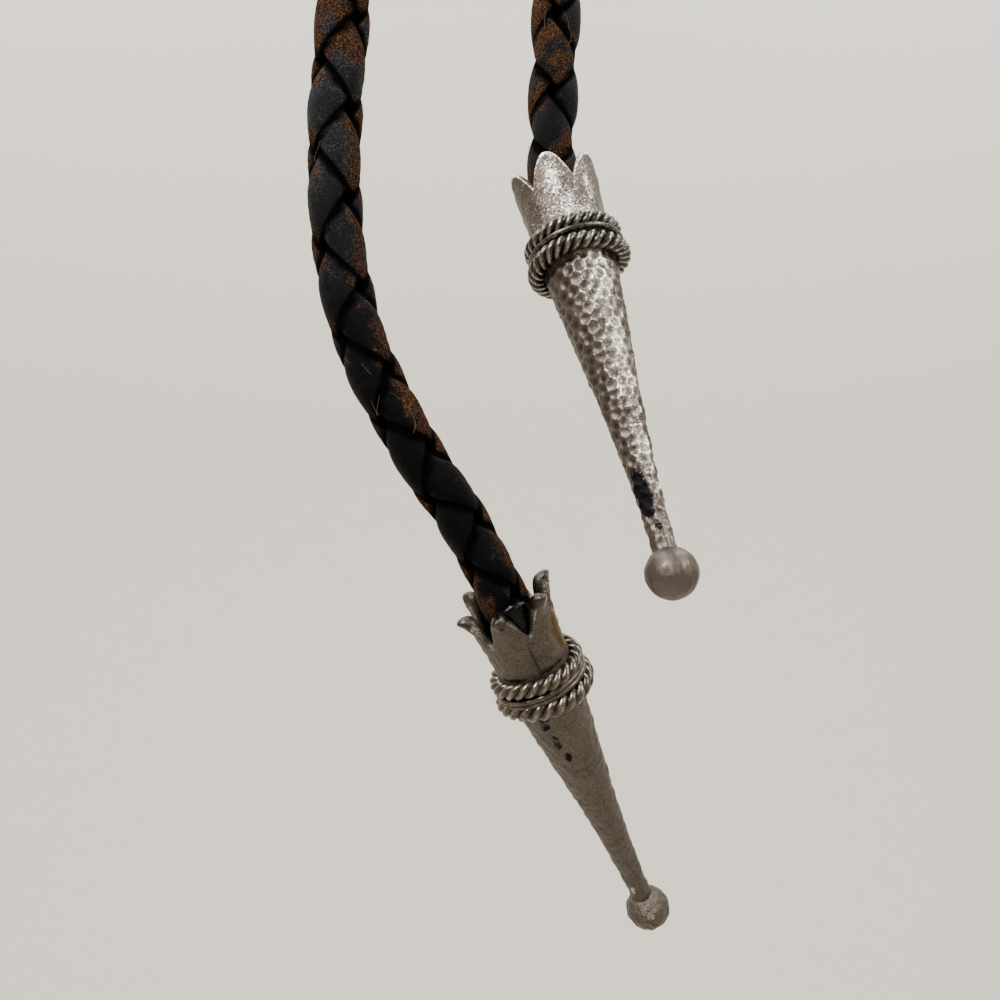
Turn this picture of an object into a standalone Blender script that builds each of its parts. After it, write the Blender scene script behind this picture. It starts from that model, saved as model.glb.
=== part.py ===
# A bolo tie as it hangs when worn: one braided leather cord round the neck,
# a slide that draws its two sides together, and a cast metal tip on each end.
# Metres, +Z up. The wearer faces -Y, and the origin is on the inner side of
# the cord at the nape. Left and right are the viewer's.

import math

import bmesh
import bpy
import numpy as np
from mathutils import Matrix, Vector

# Cord
CORD_DIAMETER = 0.0060
CORD_POINT_STEP = 0.0140
CORD_BEVEL_RESOLUTION = 4
TOUCH_GAP = 0.0003

# Metal tip, measured along its axis from the plane of the tooth points
TIP_LENGTH_TO_BALL = 0.0500
BALL_DIAMETER = 0.0056
BALL_ROWS = 8
CUP_HEIGHT = 0.0087
CUP_WALL = 0.0010
CUP_CORD_CLEARANCE = 0.00045
CUP_FLARE = 0.0008
CUP_DEPTH = 0.0100
CUP_ROWS = 5
CORD_SEAT_DEPTH = 0.0090
TOOTH_COUNT = 6
TOOTH_DEPTH = 0.0037
CONE_TOP_RADIUS = 0.0043
NECK_RADIUS = 0.00133
TIP_TURN_STEPS = 32

# Collar of the tip: two twisted ropes with a thin plain wire between them
UPPER_ROPE_RADIUS = 0.00090
LOWER_ROPE_RADIUS = 0.00105
COLLAR_WIRE_RADIUS = 0.00040
COLLAR_FILL = 0.00070
ROPE_SINK = 0.00045
ROPE_SPACING = 0.00285
ROPE_TWISTS = 10
ROPE_STEPS_PER_TWIST = 6
ROPE_SIDES = 6
ROPE_GROOVE = 0.28

# Slide
SLIDE_HEIGHT_Z = -0.1600
SLIDE_CORD_CLEARANCE = 0.0004
SLIDE_TUBE_WALL = 0.0013
SLIDE_TUBE_LENGTH = 0.0140
PLATE_WIDTH = 0.0360
PLATE_LENGTH = 0.0460
PLATE_THICKNESS = 0.0018
PLATE_DOME = 0.0018
PLATE_SINK = 0.0008
PLATE_STEPS = 40

# Where each tip's mouth is, where its ball points, and which way one tooth faces
LEFT_MOUTH = Vector((0.0052, -0.1257, -0.3890))
LEFT_BALL_AIM = Vector((0.0244, -0.1081, -0.4317))
LEFT_TOOTH_AIM = Vector((-0.1144, -0.8994, -0.4220))
RIGHT_MOUTH = Vector((0.0112, -0.1210, -0.3397))
RIGHT_BALL_AIM = Vector((0.0225, -0.1376, -0.3855))
RIGHT_TOOTH_AIM = Vector((-0.2406, -0.9300, 0.2779))

# Cord routes, as points chosen by hand: each end from below the slide to its tip,
# and half of the neck loop from above the slide to beside the nape
LEFT_END_ROUTE = [
    (-0.0095, -0.1270, -0.1690),
    (-0.0098, -0.1275, -0.1850),
    (-0.0108, -0.1300, -0.2250),
    (-0.0115, -0.1330, -0.2700),
    (-0.0113, -0.1345, -0.3000),
    (-0.0117, -0.1340, -0.3250),
    (-0.0125, -0.1340, -0.3356),
    (-0.0126, -0.1340, -0.3460),
    (-0.0117, -0.1333, -0.3545),
    (-0.0093, -0.1323, -0.3629),
    (-0.0035, -0.1300, -0.3739),
    (0.0003, -0.1280, -0.3795),
]
RIGHT_END_ROUTE = [
    (0.0095, -0.1270, -0.1690),
    (0.0098, -0.1270, -0.1850),
    (0.0112, -0.1255, -0.2200),
    (0.0125, -0.1230, -0.2600),
    (0.0122, -0.1210, -0.2950),
    (0.0117, -0.1200, -0.3180),
    (0.0113, -0.1200, -0.3288),
]
NECK_ROUTE = [
    (0.0095, -0.1270, -0.1500),
    (0.0100, -0.1268, -0.1360),
    (0.0145, -0.1248, -0.1120),
    (0.0290, -0.1160, -0.0800),
    (0.0470, -0.0975, -0.0510),
    (0.0590, -0.0700, -0.0280),
    (0.0600, -0.0400, -0.0120),
    (0.0470, -0.0150, -0.0040),
    (0.0240, -0.0005, -0.0008),
]

# Shares of the cone's length from the collar to the ball, and of its taper
CONE_TABLE = [
    (0.08, 0.92),
    (0.21, 0.74),
    (0.35, 0.56),
    (0.47, 0.40),
    (0.59, 0.26),
    (0.70, 0.16),
    (0.80, 0.09),
    (0.92, 0.02),
]

# Shares of the notch's depth, and of the half pitch that the tooth fills there
TOOTH_TABLE = [
    (0.00, 0.13),
    (0.12, 0.33),
    (0.30, 0.52),
    (0.55, 0.73),
    (0.80, 0.89),
    (1.00, 0.97),
]

# Shares of the plate's half width, and of its dome's height
PLATE_TABLE = [
    (0.00, 1.00),
    (0.35, 0.90),
    (0.65, 0.62),
    (0.88, 0.24),
    (0.97, 0.06),
]

# Shares of the plate's half width, and of its thickness, down its rounded edge
PLATE_EDGE_TABLE = [
    (1.00, 0.80),
    (1.00, 0.25),
    (0.975, 0.00),
    (0.00, 0.00),
]

# The slide sits where the two sides of the cord pass it
SLIDE_CORD_SPACING = 2 * NECK_ROUTE[0][0]
FRONT_Y = NECK_ROUTE[0][1]
NAPE_Y = CORD_DIAMETER / 2

CORD_RADIUS = CORD_DIAMETER / 2
BALL_RADIUS = BALL_DIAMETER / 2
CUP_FOOT_RADIUS = CORD_RADIUS + CUP_CORD_CLEARANCE + CUP_WALL
UPPER_ROPE_DEPTH = CUP_HEIGHT + UPPER_ROPE_RADIUS
LOWER_ROPE_DEPTH = UPPER_ROPE_DEPTH + ROPE_SPACING
COLLAR_WIRE_DEPTH = UPPER_ROPE_DEPTH + ROPE_SPACING * UPPER_ROPE_RADIUS / (
    UPPER_ROPE_RADIUS + LOWER_ROPE_RADIUS)
COLLAR_END = LOWER_ROPE_DEPTH + LOWER_ROPE_RADIUS
SLIDE_BORE_RADIUS = CORD_RADIUS + SLIDE_CORD_CLEARANCE
SLIDE_TUBE_RADIUS = SLIDE_BORE_RADIUS + SLIDE_TUBE_WALL


def clear_scene():
    for item in list(bpy.data.objects):
        bpy.data.objects.remove(item, do_unlink=True)


def new_collection(name):
    collection = bpy.data.collections.new(name)
    bpy.context.scene.collection.children.link(collection)
    return collection


def new_material(name, colour, roughness, metallic):
    material = bpy.data.materials.new(name)
    material.use_nodes = True
    shader = material.node_tree.nodes["Principled BSDF"]
    shader.inputs["Base Color"].default_value = (*colour, 1.0)
    shader.inputs["Roughness"].default_value = roughness
    shader.inputs["Metallic"].default_value = metallic
    material.diffuse_color = (*colour, 1.0)
    return material


def add_object(name, data, collection, material=None):
    item = bpy.data.objects.new(name, data)
    collection.objects.link(item)
    if material is not None:
        item.data.materials.append(material)
    return item


def add_cutter(name, data, collection):
    item = add_object(name, data, collection)
    item.hide_render = True
    item.display_type = "WIRE"
    return item


def add_boolean(item, other, operation):
    modifier = item.modifiers.new(other.name, "BOOLEAN")
    modifier.operation = operation
    modifier.object = other
    modifier.solver = "EXACT"


def add_screw(item, steps):
    modifier = item.modifiers.new("turn", "SCREW")
    modifier.steps = steps
    modifier.render_steps = steps
    modifier.use_merge_vertices = True
    modifier.merge_threshold = 0.00001


def profile_mesh(name, points):
    mesh = bpy.data.meshes.new(name)
    vertices = [(radius, 0.0, height) for radius, height in points]
    edges = [(index, index + 1) for index in range(len(points) - 1)]
    mesh.from_pydata(vertices, edges, [])
    return mesh


def smooth_route(route, step):
    # A Catmull-Rom curve through the route's points, read at even steps of its length
    points = np.array([tuple(point) for point in route])
    before = 2 * points[0] - points[1]
    after = 2 * points[-1] - points[-2]
    knots = np.vstack([before, points, after])
    fine = []
    for index in range(1, len(knots) - 2):
        p0, p1, p2, p3 = knots[index - 1:index + 3]
        for share in np.linspace(0.0, 1.0, 24, endpoint=False):
            linear = (p2 - p0) * share
            square = (2 * p0 - 5 * p1 + 4 * p2 - p3) * share ** 2
            cube = (3 * p1 - p0 - 3 * p2 + p3) * share ** 3
            fine.append((2 * p1 + linear + square + cube) / 2)
    fine.append(knots[-2])
    fine = np.array(fine)
    spans = np.linalg.norm(np.diff(fine, axis=0), axis=1)
    along = np.concatenate([[0.0], np.cumsum(spans)])
    count = max(2, round(along[-1] / step))
    wanted = np.linspace(0.0, along[-1], count + 1)
    return np.column_stack([np.interp(wanted, along, fine[:, axis]) for axis in range(3)])


def make_cord(name, route, collection, material):
    points = smooth_route(route, CORD_POINT_STEP)
    curve = bpy.data.curves.new(name, "CURVE")
    curve.dimensions = "3D"
    curve.bevel_depth = CORD_RADIUS
    curve.bevel_resolution = CORD_BEVEL_RESOLUTION
    curve.use_fill_caps = True
    spline = curve.splines.new("POLY")
    spline.points.add(len(points) - 1)
    for knot, place in zip(spline.points, points):
        knot.co = (*place, 1.0)
    return add_object(name, curve, collection, material)


def cup_radius(depth):
    # The cup widens from its foot at the collar to the tooth points
    share = max(0.0, 1 - depth / CUP_HEIGHT)
    return CUP_FOOT_RADIUS + CUP_FLARE * share ** 1.4


def tip_profile():
    # From the middle of the cup's floor, up its bore, over the rim and down outside
    floor = min(CUP_DEPTH, CUP_HEIGHT)
    points = [(0.0, -CUP_DEPTH), (CUP_FOOT_RADIUS - CUP_WALL, -CUP_DEPTH)]
    for row in range(CUP_ROWS, -1, -1):
        depth = floor * row / CUP_ROWS
        points.append((cup_radius(depth) - CUP_WALL, -depth))
    for row in range(CUP_ROWS + 1):
        depth = CUP_HEIGHT * row / CUP_ROWS
        points.append((cup_radius(depth), -depth))
    # Solder fills the valley between the two ropes and carries the plain wire
    fill = CUP_FOOT_RADIUS + COLLAR_FILL
    points.append((CUP_FOOT_RADIUS, -UPPER_ROPE_DEPTH))
    points.append((fill, -COLLAR_WIRE_DEPTH + COLLAR_WIRE_RADIUS))
    points.append((fill, -COLLAR_WIRE_DEPTH - COLLAR_WIRE_RADIUS))
    points.append((CUP_FOOT_RADIUS, -LOWER_ROPE_DEPTH))
    neck_reach = math.sqrt(BALL_RADIUS ** 2 - NECK_RADIUS ** 2)
    cone_length = TIP_LENGTH_TO_BALL - neck_reach - COLLAR_END
    points.append((CONE_TOP_RADIUS, -COLLAR_END))
    for along, taper in CONE_TABLE:
        radius = NECK_RADIUS + (CONE_TOP_RADIUS - NECK_RADIUS) * taper
        points.append((radius, -COLLAR_END - cone_length * along))
    first = math.asin(NECK_RADIUS / BALL_RADIUS)
    for row in range(BALL_ROWS + 1):
        angle = first + (math.pi - first) * row / BALL_ROWS
        radius = 0.0 if row == BALL_ROWS else BALL_RADIUS * math.sin(angle)
        points.append((radius, -TIP_LENGTH_TO_BALL + BALL_RADIUS * math.cos(angle)))
    return points


def notch_mesh():
    # Six wedges that widen outwards and leave the pointed teeth between them
    half_pitch = math.pi / TOOTH_COUNT
    inner = CORD_RADIUS
    outer = CUP_FOOT_RADIUS + CUP_FLARE + CUP_WALL
    above = CUP_WALL
    side = []
    for depth, tooth in TOOTH_TABLE:
        slope = math.tan(half_pitch * (1 - tooth))
        side.append((slope, -TOOTH_DEPTH * depth))
    outline = [(side[0][0], above)] + side
    outline = outline + [(-slope, height) for slope, height in reversed(outline)]
    mesh = bmesh.new()
    for index in range(TOOTH_COUNT):
        corners = [mesh.verts.new((inner, inner * slope, height)) for slope, height in outline]
        face = mesh.faces.new(corners)
        pushed = bmesh.ops.extrude_face_region(mesh, geom=[face])
        far = [piece for piece in pushed["geom"] if isinstance(piece, bmesh.types.BMVert)]
        for vertex in far:
            vertex.co.x = outer
            vertex.co.y = vertex.co.y * outer / inner
        turn = Matrix.Rotation(half_pitch * (2 * index + 1), 4, "Z")
        bmesh.ops.transform(mesh, matrix=turn, verts=corners + far)
    bmesh.ops.recalc_face_normals(mesh, faces=mesh.faces)
    data = bpy.data.meshes.new("tooth_notches")
    mesh.to_mesh(data)
    mesh.free()
    return data


def ring_mesh(name, ring_radius, wire_radius, depth, steps, sides):
    bpy.ops.mesh.primitive_torus_add(
        major_segments=steps,
        minor_segments=sides,
        major_radius=ring_radius,
        minor_radius=wire_radius,
        location=(0.0, 0.0, 0.0),
    )
    ring = bpy.context.active_object
    data = ring.data
    data.name = name
    bpy.data.objects.remove(ring, do_unlink=True)
    data.transform(Matrix.Translation((0.0, 0.0, -depth)))
    return data


def rope_mesh(name, rope_radius, depth):
    # Two strands twisted together: the section has two lobes and turns as it goes round
    ring_radius = CUP_FOOT_RADIUS + rope_radius - ROPE_SINK
    steps = ROPE_TWISTS * ROPE_STEPS_PER_TWIST
    data = ring_mesh(name, ring_radius, rope_radius, depth, steps, ROPE_SIDES)
    for vertex in data.vertices:
        around = math.atan2(vertex.co.y, vertex.co.x)
        outward = math.hypot(vertex.co.x, vertex.co.y) - ring_radius
        upward = vertex.co.z + depth
        phase = math.atan2(upward, outward) - ROPE_TWISTS * around
        size = 1 - ROPE_GROOVE * math.sin(phase) ** 2
        reach = ring_radius + outward * size
        vertex.co = (reach * math.cos(around), reach * math.sin(around), upward * size - depth)
    return data


def tip_matrix(mouth, ball_aim, tooth_aim):
    # Local +Z runs from the ball to the mouth, and one tooth lies at local +X
    up = (mouth - ball_aim).normalized()
    side = (tooth_aim - up * tooth_aim.dot(up)).normalized()
    turn = Matrix((side, up.cross(side), up)).transposed().to_4x4()
    return Matrix.Translation(mouth) @ turn


def make_tip(name, place, collection, cutters, material):
    tip = add_object(name, profile_mesh(name, tip_profile()), collection, material)
    add_screw(tip, TIP_TURN_STEPS)
    wire_reach = CUP_FOOT_RADIUS + COLLAR_FILL + COLLAR_WIRE_RADIUS / 2
    notches = add_cutter(name + "_notches", notch_mesh(), cutters)
    upper = add_cutter(
        name + "_upper_rope", rope_mesh("upper_rope", UPPER_ROPE_RADIUS, UPPER_ROPE_DEPTH), cutters)
    lower = add_cutter(
        name + "_lower_rope", rope_mesh("lower_rope", LOWER_ROPE_RADIUS, LOWER_ROPE_DEPTH), cutters)
    wire_data = ring_mesh(
        "collar_wire", wire_reach, COLLAR_WIRE_RADIUS, COLLAR_WIRE_DEPTH, TIP_TURN_STEPS,
        ROPE_SIDES)
    wire = add_cutter(name + "_collar_wire", wire_data, cutters)
    add_boolean(tip, notches, "DIFFERENCE")
    for piece in (upper, lower, wire):
        add_boolean(tip, piece, "UNION")
    for piece in (tip, notches, upper, lower, wire):
        piece.matrix_world = place
    return tip


def tube_pair_mesh():
    # The outline round both tubes of the slide's back, extruded along the cord
    curve = bpy.data.curves.new("tube_pair", "CURVE")
    curve.dimensions = "2D"
    curve.fill_mode = "BOTH"
    curve.extrude = SLIDE_TUBE_LENGTH / 2
    outline = []
    steps = 12
    for side in (1, -1):
        for step in range(steps + 1):
            angle = math.pi * (step / steps - side / 2)
            middle = side * SLIDE_CORD_SPACING / 2
            reach = SLIDE_TUBE_RADIUS
            outline.append((middle + reach * math.cos(angle), reach * math.sin(angle)))
    spline = curve.splines.new("POLY")
    spline.points.add(len(outline) - 1)
    for knot, (x, y) in zip(spline.points, outline):
        knot.co = (x, y, 0.0, 1.0)
    spline.use_cyclic_u = True
    holder = bpy.data.objects.new("tube_pair", curve)
    bpy.context.scene.collection.objects.link(holder)
    bpy.context.view_layer.update()
    graph = bpy.context.evaluated_depsgraph_get()
    data = bpy.data.meshes.new_from_object(holder.evaluated_get(graph))
    bpy.data.objects.remove(holder, do_unlink=True)
    mesh = bmesh.new()
    mesh.from_mesh(data)
    bmesh.ops.remove_doubles(mesh, verts=mesh.verts, dist=0.00001)
    mesh.to_mesh(data)
    mesh.free()
    return data


def make_slide(collection, cutters, material):
    middle = Vector((0.0, FRONT_Y, SLIDE_HEIGHT_Z))
    slide = add_object("slide", tube_pair_mesh(), collection, material)
    slide.location = middle

    # The plate is turned as a round dome, drawn out to an oval and set facing -Y
    dome = [(share, PLATE_THICKNESS + PLATE_DOME * rise) for share, rise in PLATE_TABLE]
    rim = [(share, PLATE_THICKNESS * rise) for share, rise in PLATE_EDGE_TABLE]
    plate = add_cutter("slide_plate", profile_mesh("plate", dome + rim), cutters)
    add_screw(plate, PLATE_STEPS)
    plate.scale = (PLATE_WIDTH / 2, PLATE_LENGTH / 2, 1.0)
    plate.rotation_euler = (math.pi / 2, 0.0, 0.0)
    plate.location = middle + Vector((0.0, PLATE_SINK - SLIDE_TUBE_RADIUS, 0.0))
    add_boolean(slide, plate, "UNION")

    for side, name in ((-1, "left_bore"), (1, "right_bore")):
        bpy.ops.mesh.primitive_cylinder_add(
            vertices=24,
            radius=SLIDE_BORE_RADIUS,
            depth=SLIDE_TUBE_LENGTH + 2 * SLIDE_TUBE_WALL,
            location=(0.0, 0.0, 0.0),
        )
        round_bar = bpy.context.active_object
        data = round_bar.data
        bpy.data.objects.remove(round_bar, do_unlink=True)
        bore = add_cutter(name, data, cutters)
        bore.location = middle + Vector((side * SLIDE_CORD_SPACING / 2, 0.0, 0.0))
        add_boolean(slide, bore, "DIFFERENCE")
    return slide


def seat_point(mouth, ball_aim):
    return mouth + (ball_aim - mouth).normalized() * CORD_SEAT_DEPTH


def make_cords(collection, leather):
    # The loop and the two ends meet face to face inside the slide's tubes
    half_gap = TOUCH_GAP / 2
    reach = SLIDE_CORD_SPACING / 2
    loop_start = (reach, FRONT_Y, SLIDE_HEIGHT_Z + half_gap)
    right_half = [loop_start] + NECK_ROUTE
    left_half = [(-x, y, z) for x, y, z in reversed(right_half)]
    nape = (0.0, NAPE_Y, 0.0)
    make_cord("neck_cord", right_half + [nape] + left_half, collection, leather)

    left_start = (-reach, FRONT_Y, SLIDE_HEIGHT_Z - half_gap)
    left_seat = seat_point(LEFT_MOUTH, LEFT_BALL_AIM)
    left_route = [left_start] + LEFT_END_ROUTE + [LEFT_MOUTH, left_seat]
    make_cord("left_end_cord", left_route, collection, leather)

    right_start = (reach, FRONT_Y, SLIDE_HEIGHT_Z - half_gap)
    right_seat = seat_point(RIGHT_MOUTH, RIGHT_BALL_AIM)
    right_route = [right_start] + RIGHT_END_ROUTE + [RIGHT_MOUTH, right_seat]
    make_cord("right_end_cord", right_route, collection, leather)


def main():
    clear_scene()
    collection = new_collection("bolo_tie")
    cutters = new_collection("cutters")
    leather = new_material("braided_leather", (0.035, 0.025, 0.020), 0.62, 0.0)
    left_metal = new_material("left_tip_metal", (0.36, 0.32, 0.28), 0.46, 1.0)
    right_metal = new_material("right_tip_metal", (0.52, 0.47, 0.43), 0.38, 1.0)
    slide_metal = new_material("slide_metal", (0.50, 0.46, 0.42), 0.35, 1.0)
    make_cords(collection, leather)
    left_place = tip_matrix(LEFT_MOUTH, LEFT_BALL_AIM, LEFT_TOOTH_AIM)
    right_place = tip_matrix(RIGHT_MOUTH, RIGHT_BALL_AIM, RIGHT_TOOTH_AIM)
    make_tip("left_tip", left_place, collection, cutters, left_metal)
    make_tip("right_tip", right_place, collection, cutters, right_metal)
    make_slide(collection, cutters, slide_metal)


main()
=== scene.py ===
import math

import bmesh
import bpy
import numpy as np
from mathutils import Matrix, Vector


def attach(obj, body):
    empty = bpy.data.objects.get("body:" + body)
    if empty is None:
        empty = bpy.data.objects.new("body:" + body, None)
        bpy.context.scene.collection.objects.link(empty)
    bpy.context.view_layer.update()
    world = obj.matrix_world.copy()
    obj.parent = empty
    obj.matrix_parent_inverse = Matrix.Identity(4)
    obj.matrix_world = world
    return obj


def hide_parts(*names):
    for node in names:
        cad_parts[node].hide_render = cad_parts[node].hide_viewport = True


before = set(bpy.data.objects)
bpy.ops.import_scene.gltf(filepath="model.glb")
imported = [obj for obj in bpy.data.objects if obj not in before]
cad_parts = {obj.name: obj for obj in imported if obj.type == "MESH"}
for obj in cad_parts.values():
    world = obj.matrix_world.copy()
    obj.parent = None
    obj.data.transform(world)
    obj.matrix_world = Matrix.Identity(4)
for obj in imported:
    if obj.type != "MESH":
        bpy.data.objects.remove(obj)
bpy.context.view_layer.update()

print("frame loaded:", sorted(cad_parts))


# camera

cameraPlan = {
    "place": (0.0049, -0.2400, -0.3780),
    "lens": 36.0,
    "sensor": 36.0,
    "nearest": 0.005,
    "farthest": 20.0,
}


def makeCamera(plan):
    data = bpy.data.cameras.new("camera")
    data.lens = plan["lens"]
    data.sensor_width = plan["sensor"]
    data.clip_start = plan["nearest"]
    data.clip_end = plan["farthest"]
    camera = bpy.data.objects.new("camera", data)
    bpy.context.scene.collection.objects.link(camera)
    camera.location = plan["place"]
    camera.rotation_euler = (math.pi / 2, 0.0, 0.0)
    bpy.context.scene.camera = camera


makeCamera(cameraPlan)


# meshes: what the pieces share

def rise(values, start, end):
    # 0 at the start, 1 at the end and even between, whichever of the two is larger
    return np.clip((values - start) / (end - start), 0, 1)


def skinGrid(bm, longways, roundways, shape):
    # a grid that the shape function lays out as a closed skin, with its marks on each point
    made = bmesh.ops.create_grid(bm, x_segments=longways, y_segments=roundways, size=1.0)
    verts = made["verts"]
    share = np.array([(vert.co.x + 1) / 2 for vert in verts])
    turn = np.array([(vert.co.y + 1) * math.pi for vert in verts])
    places, marks = shape(share, turn)
    for vert, place in zip(verts, places):
        vert.co = place
    for key, values in marks.items():
        layer = bm.verts.layers.float[key]
        for vert, value in zip(verts, values):
            vert[layer] = value


def spinProfile(bm, points, steps, centre=(0.0, 0.0, 0.0), closed=False):
    # turns points of radius and height round the upright line through the centre
    middle = Vector(centre)
    chain = [bm.verts.new(middle + Vector((radius, 0.0, height))) for radius, height in points]
    following = chain[1:] + chain[:1] if closed else chain[1:]
    edges = [bm.edges.new(pair) for pair in zip(chain, following)]
    bmesh.ops.spin(bm, geom=chain + edges, cent=middle, axis=(0, 0, 1), dvec=(0, 0, 0),
                   angle=2 * math.pi, steps=steps, use_merge=True)


def makeObject(bm, name):
    for face in bm.faces:
        face.smooth = True
    data = bpy.data.meshes.new(name)
    bm.to_mesh(data)
    bm.free()
    made = bpy.data.objects.new(name, data)
    bpy.context.scene.collection.objects.link(made)
    return made


def closeMesh(bm, name, merge):
    bmesh.ops.remove_doubles(bm, verts=bm.verts, dist=merge)
    openEdges = [edge for edge in bm.edges if edge.is_boundary]
    if openEdges:
        bmesh.ops.holes_fill(bm, edges=openEdges, sides=0)
    bmesh.ops.recalc_face_normals(bm, faces=bm.faces)
    return makeObject(bm, name)


# tips: where they hang, as the cords run into them

tipShape = {
    "toBall": 0.0500,
    "ball": 0.0028,
    "cupHeight": 0.0087,
    "cupFoot": 0.00445,
    "cupDepth": 0.0100,
    "flare": 0.0008,
    "flarePower": 1.4,
    "wall": 0.0010,
    "rimHeight": 0.42,
    "seat": 0.0090,
    "teeth": 6,
    "toothPower": 1.67,
    "toothRound": 0.02,
    "toothShort": (-0.02, 0.09),
    "fingerFlat": 0.08,
    "curlNarrow": 1.2,
    "curlPower": 1.3,
    "bulbPower": 0.7,
    "rimLineLow": 0.55,
    "coneTop": 0.0043,
    "neck": 0.00133,
    "upperRope": 0.00090,
    "lowerRope": 0.00105,
    "ropeSpacing": 0.00285,
}

# spots, glue, rust, seams and rubs are patches on the casting, and the rubs carry painted
# highlights over real wear:
# the depth below the mouth, the turn in degrees, half the height, half the width and the strength
# of each

leftTip = {
    "mouth": Vector((0.0052, -0.1257, -0.3890)),
    "ballAim": Vector((0.0244, -0.1081, -0.4317)),
    "toothAim": Vector((-0.1144, -0.8994, -0.4220)),
    "seed": 11,
    "toothDepth": 0.0039,
    "finger": 0.85,
    "curl": 0.0006,
    "curlReach": 0.0026,
    "bulb": 1.0,
    "rimLine": 0.0004,
    "coneGrain": 1.0,
    "rimShine": 0.50,
    "tipGloss": 1.3,
    "hammer": 0.0,
    "lumps": 0.00004,
    "ballLumps": 0.00005,
    "twists": 8,
    "ropeSwell": 1.08,
    "collarDrop": 0.0005,
    "sway": 0.00022,
    "wires": 2,
    "spots": [
        (0.0009, 2, 0.0003, 0.00025, 0.9),
        (0.0139, -6, 0.0016, 0.0014, 0.72),
        (0.0158, -10, 0.0010, 0.0008, 0.62),
        (0.0185, -6, 0.0016, 0.0006, 0.60),
        (0.0213, 2, 0.0010, 0.0006, 0.50),
    ],
    "glue": [(0.0052, 78, 0.0036, 0.0006, 1.0)],
    "rust": [(0.0089, 20, 0.0005, 0.0070, 0.8)],
    "seams": [(0.0070, 21, 0.0022, 0.00017, 1.0)],
    # painted highlight with wear: the first rub brightens the front of the ball; the second is a
    # bright fleck on the cone
    "rubs": [(0.0490, 16, 0.0009, 0.0007, 0.7), (0.0455, -20, 0.0006, 0.0003, 0.8)],
}

rightTip = {
    "mouth": Vector((0.0112, -0.1210, -0.3397)),
    "ballAim": Vector((0.0225, -0.1376, -0.3855)),
    "toothAim": Vector((-0.2406, -0.9300, 0.2779)),
    "seed": 5,
    "toothDepth": 0.0037,
    "finger": 0.0,
    "curl": 0.0001,
    "curlReach": 0.0025,
    "bulb": 0.0,
    "rimLine": 0.0003,
    "coneGrain": 0.35,
    "rimShine": 0.9,
    "tipGloss": 0.0,
    "hammer": 0.00023,
    "lumps": 0.00003,
    "ballLumps": 0.00002,
    "twists": 10,
    "ropeSwell": 1.0,
    "collarDrop": 0.0,
    "sway": 0.00010,
    "wires": 1,
    "spots": [(0.0412, -22, 0.0027, 0.0013, 1.0), (0.0452, 5, 0.0006, 0.0005, 0.9)],
    "glue": [],
    "rust": [],
    "seams": [],
    # painted highlights with wear: these rubs lie where the lamps' highlights fall on the cup's
    # fingers and down the cone
    "rubs": [
        (0.0036, 0, 0.0030, 0.0009, 0.55),
        (0.0072, 10, 0.0022, 0.0012, 0.55),
        (0.0050, 50, 0.0026, 0.0007, 0.60),
        (0.0160, 29, 0.0070, 0.0028, 1.00),
        (0.0260, 36, 0.0080, 0.0022, 1.00),
        (0.0370, 40, 0.0090, 0.0016, 0.90),
    ],
}


def tipMatrix(tip):
    # local +Z runs from the ball to the mouth, and one tooth lies at local +X
    up = (tip["mouth"] - tip["ballAim"]).normalized()
    side = (tip["toothAim"] - up * tip["toothAim"].dot(up)).normalized()
    turn = Matrix((side, up.cross(side), up)).transposed().to_4x4()
    return Matrix.Translation(tip["mouth"]) @ turn


def seatPoint(tip):
    return tip["mouth"] + (tip["ballAim"] - tip["mouth"]).normalized() * tipShape["seat"]


# cord: the routes of the loop and of the two ends

cordPlan = {
    "diameter": 0.0060,
    "slideZ": -0.1600,
    "slideMouthZ": -0.1670,
    "halfGap": 0.00015,
    "pathStep": 0.0010,
    "spanSteps": 48,
    "frontFirst": (0.0, -1.0, 0.0),
}

leftRoute = [
    (-0.0095, -0.1270, -0.1690),
    (-0.0098, -0.1275, -0.1850),
    (-0.0108, -0.1300, -0.2250),
    (-0.0115, -0.1330, -0.2700),
    (-0.0113, -0.1345, -0.3000),
    (-0.0117, -0.1340, -0.3250),
    (-0.0125, -0.1340, -0.3356),
    (-0.0126, -0.1340, -0.3460),
    (-0.0117, -0.1333, -0.3545),
    (-0.0093, -0.1323, -0.3629),
    (-0.0035, -0.1300, -0.3739),
    (0.0003, -0.1280, -0.3795),
]
rightRoute = [
    (0.0095, -0.1270, -0.1690),
    (0.0098, -0.1270, -0.1850),
    (0.0112, -0.1255, -0.2200),
    (0.0125, -0.1230, -0.2600),
    (0.0122, -0.1210, -0.2950),
    (0.0117, -0.1200, -0.3180),
    (0.0113, -0.1200, -0.3288),
]
neckRoute = [
    (0.0095, -0.1270, -0.1500),
    (0.0100, -0.1268, -0.1360),
    (0.0145, -0.1248, -0.1120),
    (0.0290, -0.1160, -0.0800),
    (0.0470, -0.0975, -0.0510),
    (0.0590, -0.0700, -0.0280),
    (0.0600, -0.0400, -0.0120),
    (0.0470, -0.0150, -0.0040),
    (0.0240, -0.0005, -0.0008),
]


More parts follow.
